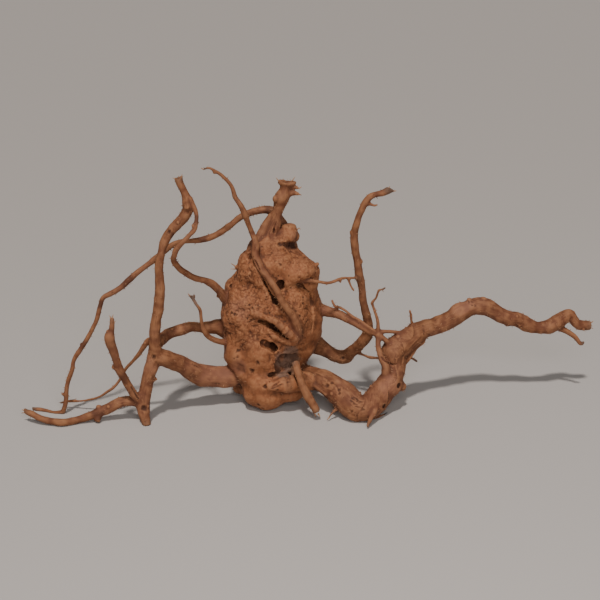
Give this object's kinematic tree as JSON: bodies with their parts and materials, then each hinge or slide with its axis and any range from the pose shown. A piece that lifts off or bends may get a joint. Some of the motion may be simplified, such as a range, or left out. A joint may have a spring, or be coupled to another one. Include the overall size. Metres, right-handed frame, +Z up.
{
  "type": "dry root",
  "caption": "Bare dry root grown as one piece: a knotty upright burl with limbs that spread to both sides, uprights, thin runners and twigs, resting on its feet.",
  "frame": {"origin": "middle of the root's box, at the level of the surface that it rests on", "axes": "+X along the spread of the limbs, towards the long right arm; -Y towards the viewer of its best side; +Z up"},
  "size_m": [0.5824, 0.162, 0.2559],
  "materials": {
    "bare_root_wood": "matt bare wood"
  },
  "bodies": {
    "root": {"dry_root": "bare_root_wood"}
  },
  "joints": []
}
